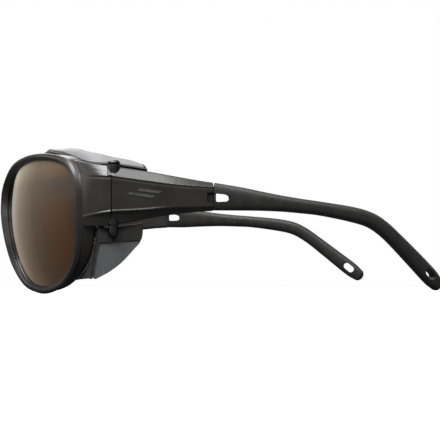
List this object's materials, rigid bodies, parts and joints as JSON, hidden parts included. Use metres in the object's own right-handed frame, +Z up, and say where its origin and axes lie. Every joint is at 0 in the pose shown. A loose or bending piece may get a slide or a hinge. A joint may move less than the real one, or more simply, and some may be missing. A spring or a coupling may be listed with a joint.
{
  "type": "glacier glasses",
  "caption": "Wrap-around sunglasses with round brown lenses, folding temples with bendable rubber tips, adjustable nose pads and removable mesh side shields.",
  "frame": {"origin": "on the symmetry plane, at the foremost plane of the rims, level with the middle of the lenses", "axes": "+X towards the wearer's left, +Y back along the open temples, +Z up"},
  "size_m": [0.1386, 0.1743, 0.0573],
  "materials": {
    "frame_nylon": "satin moulded nylon",
    "arm_nylon": "satin moulded nylon",
    "carrier_plastic": "matte moulded plastic",
    "mesh_film": "smoke film with a fine diagonal weave",
    "brown_lens": "brown mirror coating",
    "soft_rubber": "matte",
    "tip_rubber": "matte with a fine texture",
    "bare_metal": "satin",
    "dark_metal": "black satin"
  },
  "bodies": {
    "front": {"front_frame": "frame_nylon", "left_lens": "brown_lens", "right_lens": "brown_lens", "left_front_hinge_leaf": "bare_metal", "right_front_hinge_leaf": "bare_metal", "left_hinge_pin": "dark_metal", "right_hinge_pin": "dark_metal", "left_hinge_nut": "dark_metal", "right_hinge_nut": "dark_metal"},
    "left_temple": {"left_arm": "arm_nylon", "left_arm_hinge_leaf": "bare_metal", "left_badge": "bare_metal", "left_core_wire": "bare_metal", "left_temple_sleeve": "tip_rubber"},
    "left_shield": {"left_shield_carrier": "carrier_plastic", "left_brow_window": "mesh_film", "left_cheek_window": "mesh_film"},
    "left_nose_rest": {"left_nose_arm": "bare_metal", "left_nose_pad": "soft_rubber"},
    "right_temple": {"right_arm": "arm_nylon", "right_arm_hinge_leaf": "bare_metal", "right_badge": "bare_metal", "right_core_wire": "bare_metal", "right_temple_sleeve": "tip_rubber"},
    "right_shield": {"right_shield_carrier": "carrier_plastic", "right_brow_window": "mesh_film", "right_cheek_window": "mesh_film"},
    "right_nose_rest": {"right_nose_arm": "bare_metal", "right_nose_pad": "soft_rubber"}
  },
  "joints": [
    {"name": "left_temple_fold", "type": "hinge", "parent": "front", "child": "left_temple", "pos_m": [0.066, 0.0417, 0.009], "axis": [0, 0, 1], "range_deg": [0, 83]},
    {"name": "left_shield_release", "type": "slide", "parent": "front", "child": "left_shield", "axis": [-1, 0, 0], "range_m": [0, 0.004]},
    {"name": "left_nose_rest_bend", "type": "hinge", "parent": "front", "child": "left_nose_rest", "pos_m": [0.0102, 0.0092, 0.0035], "axis": [0, 1, 0], "range_deg": [-8, 8]},
    {"name": "right_temple_fold", "type": "hinge", "parent": "front", "child": "right_temple", "pos_m": [-0.066, 0.0417, 0.009], "axis": [0, 0, -1], "range_deg": [0, 58]},
    {"name": "right_shield_release", "type": "slide", "parent": "front", "child": "right_shield", "axis": [1, 0, 0], "range_m": [0, 0.004]},
    {"name": "right_nose_rest_bend", "type": "hinge", "parent": "front", "child": "right_nose_rest", "pos_m": [-0.0102, 0.0092, 0.0035], "axis": [0, -1, 0], "range_deg": [-8, 8]}
  ]
}
